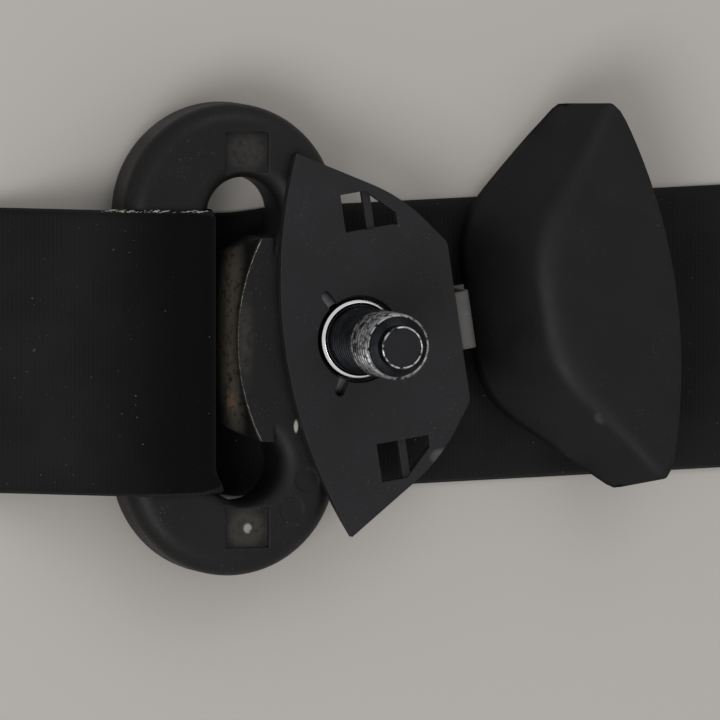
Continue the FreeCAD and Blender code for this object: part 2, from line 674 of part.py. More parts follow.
def strip(body, name, corners, width, gauge, start_level, start_x, shift="0"):
    """A flat strip of the given width and gauge along a route of straight runs and tangent arcs."""
    route = new_sketch(body, f"{name}_route", role="XZ_Plane", level=shift)
    add_outline(route, corners, closed=False)
    end = new_sketch(body, f"{name}_section", role="YZ_Plane", level=start_x)
    low = f"({start_level}-{gauge}/2)"
    high = f"({start_level}+{gauge}/2)"
    middle = f"(-1*({shift}))"
    add_outline(end, rectangle(f"{middle}-{width}/2", low, f"{middle}+{width}/2", high))
    doc.recompute()
    pipe = body.newObject("PartDesign::AdditivePipe", f"{body.Name}_{name}")
    pipe.Profile = end
    pipe.Spine = (route, [f"Edge{i + 1}" for i in range(len(route.Shape.Edges))])
    doc.recompute()
    return pipe


strip(
    strap,
    "strap",
    [
        corner(HINGE_EDGE, PLATE_MIDDLE),
        corner("dim.hinge_reach-dim.strap_bend", f"{PLATE_MIDDLE}-dim.strap_bend", "dim.strap_bend", turn=-1),
        corner("dim.hinge_reach+dim.strap_bend", f"{RIM_GRIP}+dim.strap_bend", "dim.strap_bend"),
        corner(RIM_NEAR, RIM_GRIP),
    ],
    "dim.strap_width",
    "dim.strap_gauge",
    PLATE_MIDDLE,
    HINGE_EDGE,
)


def cover_outline(near, half, radius, tip, tip_half, far, inset="0"):
    """Cover outline at one level: flat beside the hinge, two round corners, flanks, bowed far side.
    An inset outline draws its pointed tips back further than its sides."""
    tip_x = f"({tip}-dim.tip_draw_in*{inset})"
    tip_y = f"({tip_half}-dim.tip_draw_along*{inset})"
    return [
        corner(tip_x, f"-{tip_y}", bow=sagitta(tip_y, f"({far}-{inset}-{tip_x})")),
        corner(tip_x, tip_y),
        corner(f"({near}+{radius})", half, f"({radius}-{inset})"),
        corner(f"({near}+{radius})", f"-{half}", f"({radius}-{inset})"),
    ]


def part_way(low, high, share):
    return f"({low}+({high}-{low})*{share})"


RIM_SHAPE = (RIM_NEAR, "dim.rim_half", "dim.rim_round", RIM_TIP, "dim.rim_tip_half", COVER_FAR)
RIDGE_SHAPE = (RIDGE_NEAR, "dim.ridge_half", "dim.ridge_round", RIDGE_TIP, "dim.ridge_tip_half", COVER_FAR)
BAND_SHARE = "((dim.cover_depth-dim.band_drop)/dim.cover_depth)"
BAND_SHAPE = [part_way(low, high, BAND_SHARE) for low, high in zip(RIM_SHAPE, RIDGE_SHAPE)]
FACE_SHAPE = (f"({RIDGE_NEAR}+dim.band_run)", *RIDGE_SHAPE[1:5], f"({COVER_FAR}-dim.band_edge)")
CEILING_SHAPE = (f"({RIDGE_NEAR}-dim.ridge_heel)", *RIDGE_SHAPE[1:])

# Cover cap, open: the same outline as the plate, mirrored about the hinge, mouth down
cap = new_body("cover_cap")
rim = new_sketch(cap, "rim", level=RIM)
add_outline(rim, cover_outline(*RIM_SHAPE))
band = new_sketch(cap, "band", level=f"{COVER_TOP}-dim.band_drop")
add_outline(band, cover_outline(*BAND_SHAPE))
feature(cap, "AdditiveLoft", "wall", band, Sections=[rim], Ruled=True)
face = new_sketch(cap, "face", level=COVER_TOP)
add_outline(face, cover_outline(*FACE_SHAPE))
feature(cap, "AdditiveLoft", "ridge_band", face, Sections=[band], Ruled=True)
inner_rim = new_sketch(cap, "inner_rim", level=RIM)
add_outline(inner_rim, cover_outline(*RIM_SHAPE, inset="dim.cover_wall"))
ceiling = new_sketch(cap, "ceiling", level=f"{COVER_TOP}-dim.cover_wall")
add_outline(ceiling, cover_outline(*CEILING_SHAPE, inset="dim.cover_wall"))
checked_cut(cap, "SubtractiveLoft", "inside", ceiling, Sections=[inner_rim], Ruled=True)
BELOW_RIM = f"({RIM}-dim.over_cut)"
PAST_COVER = f"({COVER_FAR}+dim.over_cut)"


def from_fold(distance):
    return f"(dim.hinge_reach+{distance})"


side_cut(
    cap,
    "mouth",
    [
        corner(from_fold("dim.mouth_start"), BELOW_RIM),
        corner(PAST_COVER, BELOW_RIM),
        corner(PAST_COVER, f"{RIM}+dim.mouth_top"),
        corner(RIDGE_TIP, f"{RIM}+dim.mouth_top"),
        corner(RIM_TIP, f"{RIM}+dim.mouth_slant"),
        corner(from_fold("dim.mouth_bend"), f"{RIM}+dim.mouth_rise"),
        corner(from_fold("dim.mouth_bend"), f"{RIM}+dim.mouth_ease"),
        corner(from_fold("dim.mouth_start"), f"{RIM}+dim.mouth_step"),
    ],
    "2*(dim.rim_tip_half+dim.over_cut)",
)
side_cut(
    cap,
    "ring_way",
    rectangle(from_fold("dim.way_start"), BELOW_RIM, PAST_COVER, f"{COVER_TOP}-dim.cover_wall"),
    "dim.mouth_half*2",
)
CLIP_X = "(2*dim.hinge_reach-dim.window_end+dim.clip_gap+dim.clip_width/2)"
BARB_TIP = f"({WINDOW_INNER}+dim.barb_gap)"
CLIP_IN = f"({BARB_TIP}+dim.clip_barb)"
CLIP_OUT = f"({CLIP_IN}+dim.clip_gauge)"
HOOKS = [
    ("clip", CLIP_IN, CLIP_OUT, f"{RIM}+dim.clip_root"),
    ("barb", BARB_TIP, CLIP_IN, f"{RIM}-dim.clip_reach/2"),
]
for side in (1, -1):
    where = "upper" if side > 0 else "lower"
    for name, inner, outer, top in HOOKS:
        first, last = (f"{side}*{inner}", f"{side}*{outer}")[::side]
        pad(
            cap,
            f"{where}_{name}",
            rectangle(f"{CLIP_X}-dim.clip_width/2", first, f"{CLIP_X}+dim.clip_width/2", last),
            f"({RIM}-dim.clip_reach)",
            f"({top})",
        )

# Webbing: in over the far bar and down the slot, then out under the ring
rear = new_body("webbing_rear_run")
BAR_EDGE = "dim.edge_round+dim.soft_gap+dim.webbing_gauge/2"
SLOT_EDGE = "dim.mouth_round+dim.soft_gap+dim.webbing_gauge/2"
strip(
    rear,
    "strip",
    [
        corner("-dim.rear_reach", ON_FLOOR),
        corner("-dim.rear_lift", f"{ON_FLOOR}+dim.rear_sweep", "dim.rear_sweep"),
        corner(f"-({RING_FAR}-dim.edge_round)", f"{RING_TOP}-dim.edge_round", BAR_EDGE, turn=-1),
        corner(f"-({SLOT_FAR}+dim.mouth_round)", f"{RING_TOP}-dim.mouth_round", SLOT_EDGE, turn=-1),
        corner(f"-{IN_SLOT}", SEAM),
    ],
    "dim.webbing_width",
    "dim.webbing_gauge",
    ON_FLOOR,
    "-dim.rear_reach",
    shift="dim.webbing_shift",
)

front = new_body("webbing_front_run")
strip(
    front,
    "strip",
    [
        corner("dim.front_reach", ON_FLOOR),
        corner(f"-{IN_SLOT}+dim.turn_under", f"{ON_FLOOR}+dim.turn_under", "dim.turn_under", turn=-1),
        corner(f"-{IN_SLOT}", SEAM),
    ],
    "dim.webbing_width",
    "dim.webbing_gauge",
    ON_FLOOR,
    "dim.front_reach",
    shift="dim.webbing_shift",
)

# The lower edge of the strap rolls up where a lobe of the slot is round, so the plain strip stops there
STRAP_EDGE = "(dim.webbing_shift+dim.webbing_width/2)"
ROLLED = rectangle(
    f"-({SLOT_FAR}+dim.mouth_round)", f"-({STRAP_EDGE}+dim.over_cut)", "-dim.slot_offset", f"-{LOBE_Y}"
)
pocket(rear, "rolled_edge", ROLLED, FLOOR, f"({RING_TOP}+dim.soft_gap+dim.webbing_gauge+dim.over_cut)")
pocket(front, "rolled_edge", ROLLED, FLOOR, SEAM)

# The plate, the strap and the open cover lie swung round the bolt together
swing = FreeCAD.Rotation(FreeCAD.Vector(0, 0, 1), value("dim.plate_turn"))
for swung in (plate, strap, cap):
    swung.Placement = FreeCAD.Placement(FreeCAD.Vector(), swing)
    swung.setExpression("Placement.Rotation.Angle", "dim.plate_turn")

doc.recompute()

pieces = [core, overmould, bush, bolt, front_washer, spring_washer, plate, strap, cap, rear, front]
for thing in doc.Objects:
    if "Invalid" in thing.State or "Error" in thing.State:
        raise RuntimeError(f"{thing.Name} failed: {thing.State}")
for piece in pieces:
    if piece.Shape.isNull() or not piece.Shape.isValid() or not piece.Shape.Solids:
        raise RuntimeError(f"{piece.Label} has no valid solid")

os.makedirs("parts", exist_ok=True)
for piece in pieces:
    piece.Shape.exportStep(f"parts/{piece.Label}.step")
    print(piece.Label, len(piece.Shape.Solids), "solid, volume", round(piece.Shape.Volume, 1))
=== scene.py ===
import math
import random

import bpy
from mathutils import Matrix, Vector


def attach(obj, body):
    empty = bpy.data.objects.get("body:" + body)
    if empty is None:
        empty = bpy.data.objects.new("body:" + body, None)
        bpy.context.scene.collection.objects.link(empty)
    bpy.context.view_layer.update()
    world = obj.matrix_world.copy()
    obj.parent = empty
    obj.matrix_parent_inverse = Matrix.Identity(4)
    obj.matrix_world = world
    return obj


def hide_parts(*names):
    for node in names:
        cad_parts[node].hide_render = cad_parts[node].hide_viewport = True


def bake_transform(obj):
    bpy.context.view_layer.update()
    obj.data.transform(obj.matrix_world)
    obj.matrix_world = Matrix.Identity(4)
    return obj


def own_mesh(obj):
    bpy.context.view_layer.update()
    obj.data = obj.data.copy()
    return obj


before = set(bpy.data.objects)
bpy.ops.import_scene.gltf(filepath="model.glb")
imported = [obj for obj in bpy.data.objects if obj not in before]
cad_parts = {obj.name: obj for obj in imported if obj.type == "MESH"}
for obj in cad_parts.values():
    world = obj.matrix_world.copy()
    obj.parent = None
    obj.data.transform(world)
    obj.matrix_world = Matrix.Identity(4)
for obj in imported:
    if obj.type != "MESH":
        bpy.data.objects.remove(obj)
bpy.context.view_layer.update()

# Sizes in millimetres, in the part's own frame: the bolt stands on the origin and points up.
MM = 0.001
FLOOR = -16.6
RING_TOP = -2.6
WEBBING_WIDTH = 47.0
WEBBING_GAUGE = 1.2
WEBBING_MIDDLE = -2.0
RIB_PITCH = 0.75
RIB_RELIEF = 0.04
YARN_PITCH = 0.35
PLATE_TURN = 8.6
# Bolt: radius and pitch of the thread, where it ends, the tip and how far its end face is sunk
THREAD, THREAD_PITCH, THREAD_END, TIP, TIP_SINK = 5.556, 1.27, 21.2, 23.5, 0.42
dice = random.Random(7)


def linear(code):
    """An sRGB hex colour as the linear colour that a shader wants."""
    parts = [int(code[i : i + 2], 16) / 255 for i in (1, 3, 5)]
    return [p / 12.92 if p <= 0.04045 else ((p + 0.055) / 1.055) ** 2.4 for p in parts] + [1.0]


def per(size):
    """Texture scale that repeats about once in size millimetres, for coordinates in metres."""
    return 1 / (size * MM)


# Materials


def add(tree, kind, inputs=None, **settings):
    """Adds a node with its settings; an input is given a value or tied to another node's socket."""
    made = tree.nodes.new(kind)
    for name, setting in settings.items():
        setattr(made, name, setting)
    for name, source in (inputs or {}).items():
        if isinstance(source, bpy.types.NodeSocket):
            tree.links.new(source, made.inputs[name])
        else:
            made.inputs[name].default_value = source
    return made


# Sockets of the Mix node when it mixes colours
FACTOR, FIRST, SECOND, MIXED = 0, 6, 7, 2


def start_material(name):
    material = bpy.data.materials.new(name)
    material.use_nodes = True
    tree = material.node_tree
    tree.nodes.clear()
    place = add(tree, "ShaderNodeTexCoord").outputs["Object"]
    return material, tree, place


def finish_material(tree, inputs):
    shader = add(tree, "ShaderNodeBsdfPrincipled", inputs)
    add(tree, "ShaderNodeOutputMaterial", {"Surface": shader.outputs["BSDF"]})


def clouds(tree, place, size, low, high, detail=3.0, rough=0.5):
    """A mask of soft patches about size millimetres across: 0 where the noise is below low, 1 where
    it is above high."""
    field = add(
        tree,
        "ShaderNodeTexNoise",
        {"Vector": place, "Scale": per(size), "Detail": detail, "Roughness": rough},
    )
    mask = add(
        tree,
        "ShaderNodeMapRange",
        {"Value": field.outputs["Fac"], "From Min": low, "From Max": high},
        interpolation_type="SMOOTHSTEP",
    )
    return mask.outputs["Result"]


def spot(tree, place, centre, reach, feather=0.5):
    """A mask of one ellipsoid, centre and half sizes in millimetres, that fades out at its rim."""
    local = add(
        tree,
        "ShaderNodeMapping",
        {"Vector": place, "Location": [c * MM for c in centre], "Scale": [r * MM for r in reach]},
        vector_type="TEXTURE",
    )
    away = add(tree, "ShaderNodeVectorMath", {0: local.outputs["Vector"]}, operation="LENGTH")
    mask = add(
        tree,
        "ShaderNodeMapRange",
        {"Value": away.outputs["Value"], "From Min": 1.0, "From Max": 1.0 - feather},
        interpolation_type="SMOOTHSTEP",
    )
    return mask.outputs["Result"]


def coat(tree, under, over, *masks):
    """Lays a colour over another wherever all the masks say so; a mask may be a plain number."""
    together = masks[0]
    for mask in masks[1:]:
        together = add(tree, "ShaderNodeMath", {0: together, 1: mask}, operation="MULTIPLY").outputs[0]
    laid = add(tree, "ShaderNodeMix", {FACTOR: together, FIRST: under, SECOND: over}, data_type="RGBA")
    return laid.outputs[MIXED]


def softened(tree, radius):
    """The normal with every edge rounded over radius millimetres, and a mask of those edges."""
    bevel = {"Radius": radius * MM}
    rounded = add(tree, "ShaderNodeBevel", bevel, samples=6).outputs["Normal"]
    straight = add(tree, "ShaderNodeNewGeometry").outputs["Normal"]
    alike = add(tree, "ShaderNodeVectorMath", {0: rounded, 1: straight}, operation="DOT_PRODUCT")
    edges = add(
        tree,
        "ShaderNodeMapRange",
        {"Value": alike.outputs["Value"], "From Min": 0.995, "From Max": 0.9},
        interpolation_type="SMOOTHSTEP",
    )
    return rounded, edges.outputs["Result"]


# How much lighter the pale patches of a moulding are than its base colour
MOTTLED = 1.25


def moulded(name, base, worn, dust, gloss, grain, soft, rubbed, dusty, scuffed, marks=()):
    """Moulded thermoplastic: a dull skin with a fine spark-eroded grain, edges rubbed paler, short
    scuffs across it and pale dust that has settled in specks. Gloss is its roughness, grain and soft
    the sizes of its grain and of its rounded edges, the next three the shares of rubbed edges, dust
    and scuffs. A mark is a colour, its share and the centre and half sizes of a spot that has it."""
    material, tree, place = start_material(name)
    normal, edges = softened(tree, soft)
    lighter = [c * MOTTLED for c in linear(base)[:3]] + [1.0]
    mottle = clouds(tree, place, 9.0, 0.3, 0.7, 4.0)
    colour = coat(tree, linear(base), lighter, mottle)
    colour = coat(tree, colour, linear(worn), edges, clouds(tree, place, 2.5, 0.35, 0.65), rubbed)
    drawn_out = {"Vector": place, "Rotation": (0.3, 0.2, 0.9), "Scale": (1.0, 14.0, 1.0)}
    lengthwise = add(tree, "ShaderNodeMapping", drawn_out).outputs["Vector"]
    streaks = clouds(tree, lengthwise, 5.0, 0.62, 0.78, 5.0, 0.6)
    colour = coat(tree, colour, linear(worn), streaks, scuffed)
    specks = clouds(tree, place, 0.35, 0.62, 0.74, 2.0, 0.7)
    colour = coat(tree, colour, linear(dust), specks, clouds(tree, place, 6.0, 0.35, 0.75), dusty)
    for shade, share, centre, reach in marks:
        broken = clouds(tree, place, 1.0, 0.2, 0.55, 5.0)
        colour = coat(tree, colour, linear(shade), spot(tree, place, centre, reach), broken, share)
    uneven = {"Value": mottle, "To Min": gloss - 0.05, "To Max": gloss + 0.06}
    roughness = add(tree, "ShaderNodeMapRange", uneven).outputs["Result"]
    eroded = {"Vector": place, "Scale": per(grain), "Detail": 3.0, "Roughness": 0.6}
    pits = add(tree, "ShaderNodeTexNoise", eroded).outputs["Fac"]
    pitted = {"Height": pits, "Distance": 0.03 * MM, "Strength": 0.5, "Normal": normal}
    normal = add(tree, "ShaderNodeBump", pitted).outputs["Normal"]
    scratched = {"Height": streaks, "Distance": 0.02 * MM, "Strength": 0.4, "Normal": normal}
    finish_material(
        tree,
        {
            "Base Color": colour,
            "Roughness": roughness,
            "IOR": 1.48,
            "Specular IOR Level": 0.19,
            "Normal": add(tree, "ShaderNodeBump", scratched).outputs["Normal"],
        },
    )
    return material


STEEL_GRAIN = 0.3


def steel(name, base, mottled, bright, roughness):
    """Bare or coated steel, mottled, with its edges rubbed bright."""
    material, tree, place = start_material(name)
    normal, edges = softened(tree, 0.25)
    colour = coat(tree, linear(base), linear(mottled), clouds(tree, place, 3.0, 0.3, 0.7, 4.0))
    colour = coat(tree, colour, linear(bright), edges, clouds(tree, place, 1.2, 0.3, 0.55))
    rolled = {"Vector": place, "Scale": per(STEEL_GRAIN), "Detail": 3.0}
    pits = add(tree, "ShaderNodeTexNoise", rolled).outputs["Fac"]
    pitted = {"Height": pits, "Distance": 0.02 * MM, "Strength": 0.5, "Normal": normal}
    finish_material(
        tree,
        {
            "Base Color": colour,
            "Metallic": 1.0,
            "Roughness": roughness,
            "Normal": add(tree, "ShaderNodeBump", pitted).outputs["Normal"],
        },
    )
    return material


def worn_bolt(name):
    """Dark phosphated steel. The shoulder's chamfer, the rims at the thread's end and the crests of
    its last turns are rubbed bright; the end face of the pilot is a flat grey."""
    material, tree, place = start_material(name)
    axes = add(tree, "ShaderNodeSeparateXYZ", {"Vector": place}).outputs
    flat = add(tree, "ShaderNodeCombineXYZ", {"X": axes["X"], "Y": axes["Y"]}).outputs["Vector"]
    radius = add(tree, "ShaderNodeVectorMath", {0: flat}, operation="LENGTH").outputs["Value"]
    colour = coat(tree, linear("#17181a"), linear("#26272a"), clouds(tree, place, 3.0, 0.3, 0.7, 4.0))
    # Bright zones: middle and half size of the radius, then of the height, how broken up they are and
    # how bright. In order: the shoulder's chamfer, the thread's end, the pilot's rim, the last turns
    # of the thread, the turns below them
    zones = (
        (6.32, 0.27, -0.2, 0.22, 0.0, 1.0),
        (5.2, 0.2, 20.75, 0.3, 0.42, 0.6),
        (3.35, 0.16, 23.3, 0.3, 0.45, 0.7),
        (5.3, 0.4, 18.0, 2.6, 0.42, 0.25),
        (5.3, 0.4, 14.5, 2.5, 0.45, 0.15),
    )
    bare = 0.0
    for middle, half, level, rise, broken, strength in zones:
        share = clouds(tree, place, 0.8, broken - 0.12, broken + 0.18)
        across = {0: radius, 1: middle * MM, 2: half * MM}
        along = {0: axes["Z"], 1: level * MM, 2: rise * MM}
        for extent in (across, along):
            inside = add(tree, "ShaderNodeMath", extent, operation="COMPARE").outputs[0]
            share = add(tree, "ShaderNodeMath", {0: share, 1: inside}, operation="MULTIPLY").outputs[0]
        share = add(tree, "ShaderNodeMath", {0: share, 1: strength}, operation="MULTIPLY").outputs[0]
        bare = add(tree, "ShaderNodeMath", {0: bare, 1: share}, operation="MAXIMUM").outputs[0]
    colour = coat(tree, colour, linear("#e4e4e4"), bare)
    end_face = {0: axes["Z"], 1: (TIP - TIP_SINK) * MM, 2: 0.05 * MM}
    tip = add(tree, "ShaderNodeMath", end_face, operation="COMPARE").outputs[0]
    colour = coat(tree, colour, linear("#2e2e30"), tip)
    polished = {"Value": bare, "To Min": 0.42, "To Max": 0.16}
    roughness = add(tree, "ShaderNodeMapRange", polished).outputs["Result"]
    coated = {"Vector": place, "Scale": per(STEEL_GRAIN), "Detail": 3.0}
    pits = add(tree, "ShaderNodeTexNoise", coated).outputs["Fac"]
    pitted = {"Height": pits, "Distance": 0.015 * MM, "Strength": 0.5}
    finish_material(
        tree,
        {
            "Base Color": colour,
            "Metallic": 1.0,
            "Roughness": roughness,
            "Normal": add(tree, "ShaderNodeBump", pitted).outputs["Normal"],
        },
    )
    return material


def woven_polyester(name):
    """Black polyester belt webbing: weft ribs run across the strap, each broken up by its warp yarns.
    It has a little lint caught in it and a soft sheen, and near the slot it is painted darker: painted
    shade where it turns down into the slot."""
    material, tree, place = start_material(name)
    flat = add(tree, "ShaderNodeUVMap", uv_map="weave").outputs["UV"]
    # A Wave texture has one band in 20 / (2 pi) units
    band = 2 * math.pi / 20
    along = {"Vector": flat, "Scale": band * per(RIB_PITCH)}
    ribs = add(tree, "ShaderNodeTexWave", along).outputs["Fac"]
    across = {"Vector": flat, "Scale": band * per(YARN_PITCH)}
    yarns = add(tree, "ShaderNodeTexWave", across, bands_direction="Y").outputs["Fac"]
    weave = add(tree, "ShaderNodeMath", {0: ribs, 1: yarns}, operation="MULTIPLY").outputs[0]
    colour = coat(tree, linear("#131313"), linear("#191919"), clouds(tree, place, 14.0, 0.3, 0.7))
    colour = coat(tree, colour, linear("#212123"), weave, 0.5)
    east = add(tree, "ShaderNodeSeparateXYZ", {"Vector": place}).outputs["X"]
    # Painted shade: towards the slot, where the strap turns down into it, its colour is drawn to near
    # black.
    painted_slot_shade = []
    for clear, dark in ((-50, -30), (-10, -20)):
        ramp = {"Value": east, "From Min": clear * MM, "From Max": dark * MM}
        darker = add(tree, "ShaderNodeMapRange", ramp, interpolation_type="SMOOTHSTEP")
        painted_slot_shade.append(darker.outputs["Result"])
    colour = coat(tree, colour, linear("#030303"), *painted_slot_shade, 0.95)
    colour = coat(tree, colour, linear("#77746f"), clouds(tree, place, 0.5, 0.77, 0.81, 1.0), 0.45)
    bump = add(tree, "ShaderNodeBump", {"Height": weave, "Distance": 0.05 * MM, "Strength": 0.6})
    finish_material(
        tree,
        {
            "Base Color": colour,
            "Roughness": 0.85,
            "Specular IOR Level": 0.08,
            "Sheen Weight": 0.025,
            "Sheen Roughness": 0.4,
            "Normal": bump.outputs["Normal"],
        },
    )
    return material


def matt(name, shade, roughness=0.9):
    """A plain matt surface: the board, lint, the flash of a mould."""
    material, tree, _ = start_material(name)
    inputs = {"Base Color": linear(shade), "Roughness": roughness, "Specular IOR Level": 0.1}
    finish_material(tree, inputs)
    return material


# Worn and dusty places, and painted light. On the ring: dust on the slope behind the lip, partly painted
# light that lightens the shade on the slope, two brown dust spots on the slope, both pockets, a painted
# highlight in the lower pocket and a small pale spot at the waist. On the plate a small dark spot and a
# scuffed corner, on the cover a painted highlight on its ridge and two specks.
RING_MARKS = [
    # Dust on the slope behind the lip, partly painted light: laid on thick to lighten the slope's shade.
    ("#7d756a", 0.42, (-19.0, 0.0, -8.0), (3.6, 19.0, 6.4)),
    ("#8a6a50", 0.4, (-19.5, 4.5, -8.0), (1.4, 3.4, 2.6)),
    ("#8a6a50", 0.4, (-19.6, -10.0, -8.0), (1.2, 2.4, 2.6)),
    ("#57524a", 0.16, (-18.6, 31.0, -3.3), (4.2, 4.0, 0.6)),
    ("#57524a", 0.24, (-18.6, -31.0, -3.3), (4.2, 4.0, 0.6)),
    # Painted highlight: a pale glint in the lower pocket.
    ("#d8d4cc", 0.3, (-18.4, -31.0, -3.3), (0.9, 1.0, 0.5)),
    # A small pale spot at the waist.
    ("#d6d2ca", 0.55, (-10.3, -14.3, -2.6), (0.45, 1.3, 0.6)),
]
PLATE_MARKS = [
    # A small dark spot.
    ("#0c0c0c", 0.9, (15.4, -17.9, -0.5), (0.75, 0.75, 0.6)),
    ("#6f6d70", 0.3, (14.2, -19.6, -0.5), (2.6, 1.6, 0.6)),
]
COVER_MARKS = [
    # Painted highlight: a lighter patch on the cover's ridge.
    ("#6c6c6e", 0.16, (40.5, -14.6, 1.5), (1.6, 2.2, 1.6)),
    ("#b5b3ae", 0.7, (34.9, -3.4, 1.0), (0.25, 0.3, 0.5)),
    ("#b5b3ae", 0.6, (34.3, -1.6, 1.0), (0.2, 0.25, 0.5)),
]
ACETAL = moulded(
    "ring acetal",
    "#0f0f10",
    "#343332",
    "#8b8478",
    gloss=0.46,
    grain=0.25,
    soft=0.7,
    rubbed=0.2,
    dusty=0.25,
    scuffed=0.2,
    marks=RING_MARKS,
)
POLYPROPYLENE = moulded(
    "plate polypropylene",
    "#1b1a1c",
    "#3d3c3f",
    "#8f8c88",
    gloss=0.62,
    grain=0.35,
    soft=0.3,
    rubbed=0.3,
    dusty=0.2,
    scuffed=0.15,
    marks=PLATE_MARKS,
)
GRAINED = moulded(
    "cover polypropylene",
    "#0f0f10",
    "#242426",
    "#7d7b78",
    gloss=0.5,
    grain=0.5,
    soft=0.4,
    rubbed=0.3,
    dusty=0.12,
    scuffed=0.2,
    marks=COVER_MARKS,
)
WHITENED = moulded(
    "bent polypropylene",
    "#4a4948",
    "#8c8a86",
    "#a19e99",
    gloss=0.6,
    grain=0.4,
    soft=0.2,
    rubbed=0.6,
    dusty=0.3,
    scuffed=0.5,
)
NATURAL = moulded(
    "natural acetal",
    "#a5a49c",
    "#c0beb6",
    "#d0cdc4",
    gloss=0.45,
    grain=0.4,
    soft=0.2,
    rubbed=0.3,
    dusty=0.1,
    scuffed=0.1,
)
WORN_BOLT = worn_bolt("phosphated bolt steel")
STAMPED = steel("stamped steel", "#6d6d70", "#5d5d60", "#b4b4b5", roughness=0.35)
WEBBING = woven_polyester("polyester webbing")
LINT = matt("lint", "#b9b5ae")
FLASH = matt("mould flash", "#a39a8b", 0.6)
BOARD = matt("board", "#a8a49f")


def finish_with(piece, material):
    piece.data.materials.clear()
    piece.data.materials.append(material)


def new_piece(name, points, faces, material, flat_map=None):
    """A smooth mesh from points in millimetres. The flat map gives each point its place on the cloth."""
    mesh = bpy.data.meshes.new(name)
    mesh.from_pydata([Vector(p) * MM for p in points], [], faces)
    if flat_map is not None:
        layer = mesh.uv_layers.new(name="weave")
        for loop in mesh.loops:
            layer.data[loop.index].uv = [c * MM for c in flat_map[loop.vertex_index]]
    for face in mesh.polygons:
        face.use_smooth = True
    mesh.update()
    piece = bpy.data.objects.new(name, mesh)
    bpy.context.scene.collection.objects.link(piece)
    finish_with(piece, material)
    return piece


def skin(count, ring, start=0):
    """Faces of a closed tube of count rings with ring points each, capped at both ends."""
    faces = []
    for i in range(count - 1):
        for k in range(ring):
            a, b = start + i * ring + k, start + i * ring + (k + 1) % ring
            faces.append((a, a + ring, b + ring, b))
    last = start + (count - 1) * ring
    faces.append(tuple(start + k for k in range(ring)))
    faces.append(tuple(last + k for k in reversed(range(ring))))
    return faces


# Webbing

# Lower lobe of the slot: its middle, and the least radius that a gathered edge takes round it
LOBE_X, LOBE_Y, LOBE_HANG = -18.8, -20.65, 5.2
STEP = 0.2
ROWS = 36
SELVEDGE = 0.9
# Full ribs start where the strap is at least this thick on each side of its middle
RIBBED_FROM = 0.5


def walk(start, heading, legs):
    """Side view of a strap as (x, z, heading, length so far). A leg is a straight run, or a turn
    given as a radius and degrees, positive to the left."""
    x, z = start
    spots = [(x, z, heading, 0.0)]
    gone = 0.0
    for leg in legs:
        length = leg[1] if leg[0] == "run" else abs(math.radians(leg[2])) * leg[1]
        count = max(1, round(length / STEP))
        for _ in range(count):
            turn = 0.0 if leg[0] == "run" else math.radians(leg[2]) / count
            middle = heading + turn / 2
            x += math.cos(middle) * length / count
            z += math.sin(middle) * length / count
            heading += turn
            gone += length / count
            spots.append((x, z, heading, gone))
    return spots


def gathered(x, z, across, rolled):
    """Place of a strap point and its tilt: past the straight side of the slot the strap's lower edge
    rolls round the lobe."""
    beyond = LOBE_Y - across
    if beyond <= 0 or rolled <= 0:
        return Vector((x, across, z)), 0.0
    reach = max(LOBE_HANG, LOBE_X - x)
    angle = beyond / reach
    shift = reach * (1 - math.cos(angle))
    round_it = Vector((x + shift, LOBE_Y - reach * math.sin(angle), z))
    return Vector((x, across, z)).lerp(round_it, rolled), angle * rolled


def strap(name, spots, rolled_at, sway_at):
    """A woven strap along a side-view route: ribs across it, thin rounded selvedges at its edges."""
    half = WEBBING_WIDTH / 2
    section = []
    for side in (1, -1):
        for row in range(ROWS + 1):
            across = half * (1 - 2 * row / ROWS)
            edge = min(1.0, (half - abs(across)) / SELVEDGE)
            fullness = math.sqrt(max(0.0, 1 - (1 - edge) ** 2))
            section.append((across * side, side * WEBBING_GAUGE / 2 * fullness))
    points, flat = [], []
    for x, z, heading, gone in spots:
        rib = RIB_RELIEF * math.sin(2 * math.pi * gone / RIB_PITCH)
        rolled = rolled_at(x)
        for across, height in section:
            spot, angle = gathered(x, z, WEBBING_MIDDLE + across, rolled)
            lift = height + math.copysign(rib, height) * min(1.0, abs(height) / RIBBED_FROM)
            rise = -math.sin(heading)
            out = Vector((rise * math.cos(angle), rise * math.sin(angle), math.cos(heading)))
            points.append(spot + out * lift + Vector((0, sway_at(x), 0)))
            flat.append((gone, across))
    faces = skin(len(spots), len(section))
    return new_piece(name, points, faces, WEBBING, flat), spots[-1][3]


def smooth_step(value, low, high):
    """0 below low, 1 above high, and a smooth ramp in between."""
    share = min(1.0, max(0.0, (value - low) / (high - low)))
    return share * share * (3 - 2 * share)


# The straps lean sideways: the rear one before the bar, the front one from past the bolt
BAR_X, LEAN_FROM = -27.9, 2.0
REAR_LEAN, FRONT_LEAN = -0.0166, 0.0314
SAG, SAG_OVER = 1.2, (-19.0, -6.0)


def rear_sway(x):
    return REAR_LEAN * min(0.0, x - BAR_X)


def front_sway(x):
    """Leans away past the bolt, and sags to the end of the lower lobe where it turns under."""
    return FRONT_LEAN * max(0.0, x - LEAN_FROM) - SAG * (1 - smooth_step(x, *SAG_OVER))


# The rear strap climbs to the bar, bends over it, runs level to the slot and turns down into it
CLIMB, TO_BAR, BAR_TURN, OVER_BAR, SLOT_TURN, DOWN_SLOT = 26.487, 20.46, 4.3, 7.8, 3.9, 3.4
ON_FLOOR = FLOOR + WEBBING_GAUGE / 2
ON_FLOOR_RUN, ROLLS_FROM = 14.0, -34.0
REAR_LEGS = [("run", ON_FLOOR_RUN), ("turn", 45.0, CLIMB), ("run", TO_BAR), ("turn", BAR_TURN, -CLIMB)]
REAR_LEGS += [("run", OVER_BAR), ("turn", SLOT_TURN, -90.0), ("run", DOWN_SLOT)]
rear_route = walk((-90.0, ON_FLOOR), 0.0, REAR_LEGS)
rear, rear_length = strap(
    "webbing_over_bar", rear_route, lambda x: smooth_step(x, ROLLS_FROM, BAR_X), rear_sway
)
